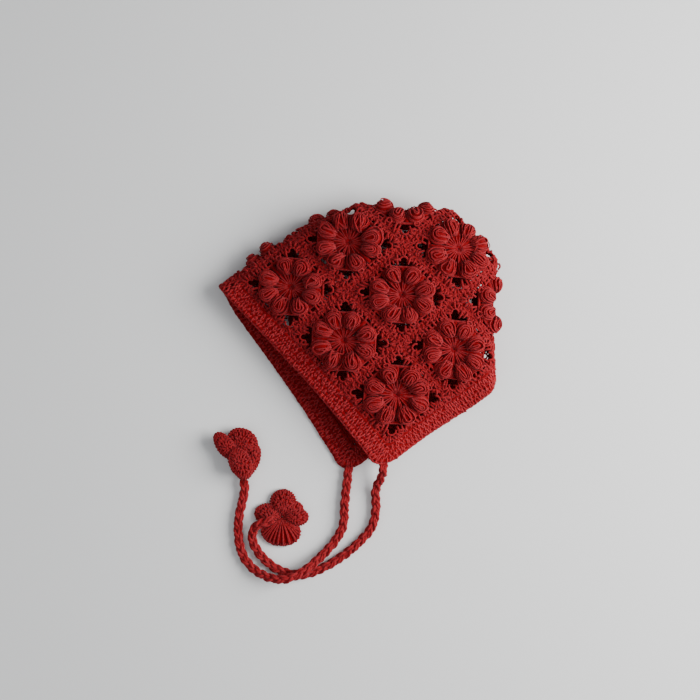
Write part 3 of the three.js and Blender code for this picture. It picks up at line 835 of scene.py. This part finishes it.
def petal_core(dome, low):
    """The core of a petal: the rings of its dome, and under them the same rings flat at low.

    Both are painted in shade. The rope at the rim covers the gap between the two.
    """
    rings, steps = dome.shape[:2]
    ring, k = np.meshgrid(np.arange(rings - 1), np.arange(steps), indexing="ij")
    here, there = ring * steps, (ring + 1) * steps
    quads = np.stack([here + k, there + k,
                      there + (k + 1) % steps, here + (k + 1) % steps], axis=-1).reshape(-1, 4)
    bare = np.zeros((0, 3), int), np.zeros((len(quads), 4, 2)), np.zeros((0, 3, 2))
    under = dome * [1, 1, 0] + [0, 0, low]
    over = dome - [0, 0, 0.1]
    return [shaded((under.reshape(-1, 3), quads[:, ::-1], *bare)),
            shaded((over.reshape(-1, 3), quads, *bare))]


def crocheted_petal(rng, base, tip, wide, rim, tall, yarn, ribbed):
    """A crocheted petal: strands over a core painted in shade, and a rope at its rim.

    Its outline is an oval from base to tip. At the share s of the way out from the
    oval's middle the dome stands tall * (1 - s^2.4)^0.6 over the rim.
    """
    middle = (base + tip) / 2
    ahead = tip - middle
    long = np.linalg.norm(ahead)
    ahead = ahead / long
    aside = np.array([-ahead[1], ahead[0]])
    half = (long + wide / 2) / 2

    def lift(places, extra):
        """Places (x, y) in shares of the oval on the dome, and extra over it."""
        share = np.clip(np.linalg.norm(places, axis=-1), 0, 1)
        over = rim + tall * (1 - share ** 2.4) ** 0.6 + extra
        spot = middle + places[..., :1] * long * ahead + places[..., 1:] * wide / 2 * aside
        return np.concatenate([spot, np.maximum(over, yarn / 2)[..., None]], axis=-1)

    flat, fat = ribbed_rows(rng, half, yarn) if ribbed else stitched_rows(rng, half)
    flat = flat + rng.normal(0, 0.018, (len(flat), 1, 2))
    paths = lift(flat, 0.45 * fat + rng.normal(0, 0.14, (len(flat), 1)))
    inside = np.append(middle, rim)
    turn = np.linspace(0, 2 * math.pi, 60, endpoint=False)
    around = np.stack([np.cos(turn), np.sin(turn)], axis=-1)
    edge = lift(around[None] * 0.94, 0.3)
    out = edge - inside + UP * 3
    wound, out = twisted(edge, out, wide=0.75, pitch=3.6, phase=np.zeros(1))
    rings = np.array([0.0, 0.3, 0.55, 0.75, 0.9, 1.0])[:, None, None]
    return [
        tubes(paths, paths - inside, yarn * (0.27 + 0.2 * fat)),
        tubes(wound, out, yarn * 0.55, 6, closed=True),
        *petal_core(lift(rings * around * 0.93, 0), max(rim - 1.2, 0.1)),
    ]


# An open petal wider than this is ribbed
RIBBED_FROM = 20.0


def open_flower_parts(rng, route, yarn):
    """The open flower, back up: five petals, each of its own size, round a sunk middle."""
    end = route[-1]
    inwards = unit((end - route[-2]) * [1, 1, 0])[:2]
    middle = end[:2] + inwards * OPEN_AHEAD * OPEN_RADIUS
    start = math.atan2(-inwards[1], -inwards[0])
    parts = []
    for turn, reach, wide, tall in OPEN_PETALS:
        angle = start + math.radians(turn)
        way = np.array([math.cos(angle), math.sin(angle)])
        base, tip = middle + way * 1.2, middle + way * (reach - 0.8)
        ribbed = wide > RIBBED_FROM
        parts += crocheted_petal(rng, base, tip, wide, 0.9, tall - 1.6, yarn, ribbed)
    return parts


def bud_flower_parts(rng, route, yarn):
    """The folded flower on its side, its petals closed over each other."""
    end = route[-1]
    last = unit(end - route[-2])
    ahead = unit(last * [1, 1, 0])[:2]
    aside = np.array([-ahead[1], ahead[0]])
    start = end[:2] + ahead * (SEAM + 3.5 * abs(last[2]))
    parts = []
    for from_ahead, from_aside, to_ahead, to_aside, wide, rim, tall in BUD_PETALS:
        base = start + ahead * from_ahead + aside * from_aside
        tip = start + ahead * to_ahead + aside * to_aside
        parts += crocheted_petal(rng, base, tip, wide, rim, tall, yarn, False)
    return parts


def new_group(name, inputs, outputs):
    """A shader node group with named sockets, and its input and output nodes."""
    group = bpy.data.node_groups.new(name, "ShaderNodeTree")
    for label, kind, value in inputs:
        socket = group.interface.new_socket(label, in_out="INPUT", socket_type=kind)
        socket.default_value = value
    for label, kind in outputs:
        group.interface.new_socket(label, in_out="OUTPUT", socket_type=kind)
    return group, group.nodes.new("NodeGroupInput"), group.nodes.new("NodeGroupOutput")


def math_node(nodes, tree, operation, first, second=None):
    """A Math node with its inputs linked or set."""
    node = nodes.new("ShaderNodeMath")
    node.operation = operation
    for socket, value in zip(node.inputs, (first, second)):
        if value is None:
            continue
        if isinstance(value, (int, float)):
            socket.default_value = value
        else:
            tree.links.new(value, socket)
    return node.outputs[0]


def ply_group():
    """Plied yarn: ridges wound round the strand, fibres along it, heathered colour and painted shade."""
    inputs = [
        ("Colour", "NodeSocketColor", (0.3, 0.01, 0.01, 1)),
        ("Shade", "NodeSocketColor", (0.1, 0.0, 0.0, 1)),
        ("Plies", "NodeSocketFloat", 3.0),
        ("Pitch", "NodeSocketFloat", 3.2),
    ]
    outputs = [
        ("Colour", "NodeSocketColor"),
        ("Height", "NodeSocketFloat"),
        ("Roughness", "NodeSocketFloat"),
    ]
    group, source, sink = new_group("Plied wool", inputs, outputs)
    nodes = group.nodes
    link = group.links.new
    uv = nodes.new("ShaderNodeUVMap")
    uv.uv_map = "yarn"
    split = nodes.new("ShaderNodeSeparateXYZ")
    link(uv.outputs["UV"], split.inputs[0])
    along = math_node(nodes, group, "DIVIDE", split.outputs[0], source.outputs["Pitch"])
    around = math_node(nodes, group, "MULTIPLY", split.outputs[1], source.outputs["Plies"])
    wind = math_node(nodes, group, "ADD", along, around)
    wave = math_node(nodes, group, "SINE", math_node(nodes, group, "MULTIPLY", wind, 2 * math.pi))
    ridge = math_node(nodes, group, "MULTIPLY_ADD", wave, 0.5)
    ridge.node.inputs[2].default_value = 0.5

    place = nodes.new("ShaderNodeTexCoord")
    fibre = nodes.new("ShaderNodeTexNoise")
    fibre.inputs["Scale"].default_value = 2600
    fibre.inputs["Detail"].default_value = 3
    link(place.outputs["Object"], fibre.inputs["Vector"])
    cloud = nodes.new("ShaderNodeTexNoise")
    cloud.inputs["Scale"].default_value = 160
    cloud.inputs["Detail"].default_value = 4
    link(place.outputs["Object"], cloud.inputs["Vector"])

    high = math_node(nodes, group, "MULTIPLY_ADD", fibre.outputs["Fac"], 0.5)
    link(ridge, high.node.inputs[2])
    link(high, sink.inputs["Height"])

    spread = nodes.new("ShaderNodeMapRange")
    spread.inputs["From Min"].default_value = 0.3
    spread.inputs["From Max"].default_value = 0.7
    spread.inputs["To Min"].default_value = 0.5
    link(cloud.outputs["Fac"], spread.inputs["Value"])
    # Painted shade: the colour is Colour on top of a strand, where v is a quarter, and
    # Shade at its underside, and darker on its flanks and in the grooves between plies.
    angle = math_node(nodes, group, "MULTIPLY", split.outputs[1], 2 * math.pi)
    facing = math_node(nodes, group, "SINE", angle)
    top = nodes.new("ShaderNodeMapRange")
    top.interpolation_type = "SMOOTHSTEP"
    top.inputs["From Min"].default_value = -0.6
    top.inputs["From Max"].default_value = 1.0
    link(facing, top.inputs["Value"])
    plied = math_node(nodes, group, "MULTIPLY_ADD", ridge, 0.3)
    plied.node.inputs[2].default_value = 0.7
    lit = math_node(nodes, group, "MULTIPLY", top.outputs["Result"], plied)
    mixed = math_node(nodes, group, "MULTIPLY", lit, spread.outputs["Result"])
    tone = nodes.new("ShaderNodeMix")
    tone.data_type = "RGBA"
    link(mixed, tone.inputs["Factor"])
    link(source.outputs["Shade"], tone.inputs["A"])
    link(source.outputs["Colour"], tone.inputs["B"])
    link(tone.outputs["Result"], sink.inputs["Colour"])
    rough = nodes.new("ShaderNodeMapRange")
    rough.inputs["To Min"].default_value = 0.78
    rough.inputs["To Max"].default_value = 0.95
    link(fibre.outputs["Fac"], rough.inputs["Value"])
    link(rough.outputs["Result"], sink.inputs["Roughness"])
    return group


def yarn_material(name, looks, tint=1.0, pitch=3.2):
    """Soft matt wool: the plied group feeds colour, roughness and bump.

    A light sheen and a little light let into the wool make it soft. tint multiplies
    the colour, and pitch is the length in millimetres in which a ply comes round.
    """
    material = bpy.data.materials.new(name)
    material.use_nodes = True
    tree = material.node_tree
    shader = tree.nodes["Principled BSDF"]
    ply = tree.nodes.new("ShaderNodeGroup")
    ply.node_tree = bpy.data.node_groups.get("Plied wool") or ply_group()
    ply.inputs["Colour"].default_value = (*[c * tint for c in looks.yarn], 1)
    ply.inputs["Shade"].default_value = (*looks.shade, 1)
    ply.inputs["Pitch"].default_value = pitch
    bump = tree.nodes.new("ShaderNodeBump")
    bump.inputs["Strength"].default_value = 0.7
    bump.inputs["Distance"].default_value = 0.0002
    tree.links.new(ply.outputs["Colour"], shader.inputs["Base Color"])
    tree.links.new(ply.outputs["Roughness"], shader.inputs["Roughness"])
    tree.links.new(ply.outputs["Height"], bump.inputs["Height"])
    tree.links.new(bump.outputs["Normal"], shader.inputs["Normal"])
    shader.inputs["Specular IOR Level"].default_value = 0.03
    shader.inputs["Sheen Weight"].default_value = 0.10
    shader.inputs["Sheen Roughness"].default_value = 0.6
    shader.inputs["Sheen Tint"].default_value = (1.0, 0.4, 0.45, 1)
    shader.inputs["Subsurface Weight"].default_value = 0.3
    shader.inputs["Subsurface Radius"].default_value = (1.0, 0.10, 0.10)
    shader.inputs["Subsurface Scale"].default_value = 0.0015
    return material


class BonnetSizes(bpy.types.PropertyGroup):
    """Sizes of the yarn and its stitches."""

    yarn: bpy.props.FloatProperty(
        name="Yarn", description="Thickness of one strand of yarn", default=0.0016, unit="LENGTH")
    stitch: bpy.props.FloatProperty(
        name="Stitch", description="Width of one stitch along an edge", default=0.0034, unit="LENGTH")
    petal_loops: bpy.props.IntProperty(
        name="Petal loops", description="Loops in each puffed petal", default=8, min=3)
    border_rows: bpy.props.IntProperty(
        name="Border rows", description="Rows of single crochet in the border", default=4, min=1)
    tie: bpy.props.FloatProperty(
        name="Tie", description="Thickness of a braided tie", default=0.007, unit="LENGTH")
    braid: bpy.props.FloatProperty(
        name="Braid", description="Length in which a strand of a tie comes round again",
        default=0.021, unit="LENGTH")


class BonnetLooks(bpy.types.PropertyGroup):
    """Colours of the yarn, of its painted shade and of the surface, and the strength of the light."""

    yarn: bpy.props.FloatVectorProperty(
        name="Yarn", description="Colour of the wool", subtype="COLOR", size=3,
        default=(0.275, 0.019, 0.023))
    # Painted shade: the colour painted on the undersides and flanks of strands and on the beds and cores
    # under them.
    shade: bpy.props.FloatVectorProperty(
        name="Shade", description="Darker fibres in the wool", subtype="COLOR", size=3,
        default=(0.155, 0.001, 0.003))
    surface: bpy.props.FloatVectorProperty(
        name="Surface", description="Colour of the surface", subtype="COLOR", size=3,
        default=(0.70, 0.705, 0.71))
    light: bpy.props.FloatProperty(
        name="Light", description="Strength that the lights have their shares of",
        default=29.0, unit="POWER")


# The camera straight above: degrees by which its picture is turned, the place under it
# and its height in metres, and the degrees that it takes in
CAMERA_TURN = 47.84
CAMERA_AIM = np.array([0.0045, -0.030, 0.0])
CAMERA_HEIGHT = 1.0
CAMERA_ANGLE = 28.2

# The lights: name, place to the right and up the picture, height and size in metres,
# share of the strength, and colour
LIGHTS = (
    ("window", 0.80, 0.06, 0.60, 0.7, 0.86, (1.0, 0.99, 0.975)),
    ("ceiling", 0.1, 0.0, 1.7, 1.6, 0.235, (0.97, 0.985, 1.0)),
    ("far wall", -0.7, -0.5, 0.9, 1.1, 0.14, (0.97, 0.985, 1.0)),
)


def surface_material(colour):
    """A matt painted surface, a little darker in wide soft clouds."""
    material = bpy.data.materials.new("painted surface")
    material.use_nodes = True
    tree = material.node_tree
    shader = tree.nodes["Principled BSDF"]
    shader.inputs["Roughness"].default_value = 0.75
    place = tree.nodes.new("ShaderNodeTexCoord")
    noise = tree.nodes.new("ShaderNodeTexNoise")
    noise.inputs["Scale"].default_value = 9
    noise.inputs["Detail"].default_value = 6
    tree.links.new(place.outputs["Object"], noise.inputs["Vector"])
    tone = tree.nodes.new("ShaderNodeMix")
    tone.data_type = "RGBA"
    tone.inputs["A"].default_value = (*[c * 0.97 for c in colour], 1)
    tone.inputs["B"].default_value = (*colour, 1)
    tree.links.new(noise.outputs["Fac"], tone.inputs["Factor"])
    tree.links.new(tone.outputs["Result"], shader.inputs["Base Color"])
    return material


def add_light(context, name, at, size, energy, colour):
    """A square soft light at a place, turned to the camera's aim."""
    data = bpy.data.lights.new(name, "AREA")
    data.shape = "SQUARE"
    data.size = size
    data.energy = energy
    data.color = colour
    lamp = bpy.data.objects.new(name, data)
    lamp.location = at
    down = unit(CAMERA_AIM - at)
    spin = math.atan2(-down[0], down[1]) if down[:2].any() else 0
    lamp.rotation_euler = (math.acos(-down[2]), 0, spin)
    context.scene.collection.objects.link(lamp)


class BONNET_OT_stage(bpy.types.Operator):
    """Adds the surface, the soft light and the camera"""

    bl_idname = "bonnet.stage"
    bl_label = "Stage"

    def execute(self, context):
        looks = context.scene.bonnet_looks
        reach = 1.6
        corners = [(-reach, -reach, 0), (reach, -reach, 0), (reach, reach, 0), (-reach, reach, 0)]
        mesh = bpy.data.meshes.new("surface")
        mesh.from_pydata(corners, [], [(0, 1, 2, 3)])
        mesh.materials.append(surface_material(looks.surface))
        floor = bpy.data.objects.new("surface", mesh)
        context.scene.collection.objects.link(floor)

        turned = math.radians(CAMERA_TURN)
        camera_data = bpy.data.cameras.new("camera")
        camera_data.sensor_fit = "HORIZONTAL"
        camera_data.angle = math.radians(CAMERA_ANGLE)
        camera = bpy.data.objects.new("camera", camera_data)
        camera.location = CAMERA_AIM + [0, 0, CAMERA_HEIGHT]
        camera.rotation_euler = (0, 0, turned)
        context.scene.collection.objects.link(camera)
        context.scene.camera = camera

        right = np.array([math.cos(turned), math.sin(turned), 0.0])
        above = np.array([-math.sin(turned), math.cos(turned), 0.0])
        for name, across, up, height, size, share, colour in LIGHTS:
            at = CAMERA_AIM + right * across + above * up + [0, 0, height]
            add_light(context, name, at, size, looks.light * share, colour)

        world = bpy.data.worlds.new("soft daylight")
        world.use_nodes = True
        background = world.node_tree.nodes["Background"]
        background.inputs["Color"].default_value = (0.93, 0.96, 1.0, 1)
        background.inputs["Strength"].default_value = 0.15
        context.scene.world = world
        return {"FINISHED"}


class BONNET_OT_ties(bpy.types.Operator):
    """Adds the two braided ties and the flowers on their ends"""

    bl_idname = "bonnet.ties"
    bl_label = "Ties and their flowers"

    def execute(self, context):
        sizes = context.scene.bonnet_sizes
        looks = context.scene.bonnet_looks
        tie_wool = yarn_material("tie wool", looks, pitch=3.0)
        petal_wool = yarn_material("petal wool", looks, tint=0.85, pitch=3.0)
        rng = np.random.default_rng(41)
        for node, side, offsets, flower, flower_parts in (
            ("lower_tie", -1.0, LOWER_TIE, "bud_flower", bud_flower_parts),
            ("upper_tie", 1.0, UPPER_TIE, "open_flower", open_flower_parts),
        ):
            route = tie_route(side, offsets)
            loops = flower_parts(rng, route, sizes.yarn * METRE)
            end = make_piece(f"crocheted_{flower}", loops, petal_wool, flower)
            path = along_route(route, 0.75)
            plaits = braid(path, sizes.tie * METRE, sizes.braid * METRE)
            tie = make_piece(f"braided_{node}", plaits, tie_wool, node)
            points = (along_route(route, 5.0) + ORIGIN) * MM
        return {"FINISHED"}


class BONNET_OT_squares(bpy.types.Operator):
    """Adds the sixteen flower squares"""

    bl_idname = "bonnet.squares"
    bl_label = "Flower squares"

    def execute(self, context):
        sizes = context.scene.bonnet_sizes
        material = yarn_material("bonnet wool", context.scene.bonnet_looks)
        places = [("crown_square", 1.0, 0.5, 2.5), ("nape_square", 1.0, 2.5, 2.5)]
        for layer, side in (("upper", 1.0), ("lower", -1.0)):
            for k in range(3):
                places.append((f"{layer}_front_square_{k + 1}", side, k + 0.5, 0.5))
                places.append((f"{layer}_middle_square_{k + 1}", side, k + 0.5, 1.5))
            places.append((f"{layer}_rear_square", side, 1.5, 2.5))
        for number, (node, side, p, q) in enumerate(places):
            rng = np.random.default_rng(number)
            parts = square_parts(rng, side, p * SQUARE, q * SQUARE, sizes)
            make_piece(f"crocheted_{node}", parts, material, node)
        return {"FINISHED"}


class BONNET_OT_border(bpy.types.Operator):
    """Adds the border round face and neck"""

    bl_idname = "bonnet.border"
    bl_label = "Border"

    def execute(self, context):
        # Painted light: the border's wool is a quarter lighter, for the light its rows miss where they
        # slope away from the window.
        material = yarn_material("border wool", context.scene.bonnet_looks, tint=1.25)
        parts = border_parts(np.random.default_rng(77), context.scene.bonnet_sizes)
        make_piece("crocheted_border", parts, material, "border")
        return {"FINISHED"}


OPERATORS = (BONNET_OT_stage, BONNET_OT_ties, BONNET_OT_squares, BONNET_OT_border)


class BONNET_PT_panel(bpy.types.Panel):
    """Lists the sizes, the colours and the pieces"""

    bl_label = "Bonnet"
    bl_idname = "BONNET_PT_panel"
    bl_space_type = "VIEW_3D"
    bl_region_type = "UI"
    bl_category = "Bonnet"

    def draw(self, context):
        for group in (context.scene.bonnet_sizes, context.scene.bonnet_looks):
            column = self.layout.column()
            for name in group.__annotations__:
                column.prop(group, name)
        for operator in OPERATORS:
            self.layout.operator(operator.bl_idname)


CLASSES = (BonnetSizes, BonnetLooks, *OPERATORS, BONNET_PT_panel)


def register():
    """Registers the classes and puts the settings on the scene."""
    for cls in CLASSES:
        bpy.utils.register_class(cls)
    bpy.types.Scene.bonnet_sizes = bpy.props.PointerProperty(type=BonnetSizes)
    bpy.types.Scene.bonnet_looks = bpy.props.PointerProperty(type=BonnetLooks)


def unregister():
    """Takes the settings and the classes away again."""
    del bpy.types.Scene.bonnet_looks
    del bpy.types.Scene.bonnet_sizes
    for cls in reversed(CLASSES):
        bpy.utils.unregister_class(cls)


def main():
    """Makes every piece in turn."""
    register()
    bpy.ops.bonnet.stage()
    bpy.ops.bonnet.ties()
    bpy.ops.bonnet.squares()
    bpy.ops.bonnet.border()
    bpy.context.view_layer.update()


if __name__ == "__main__":
    main()
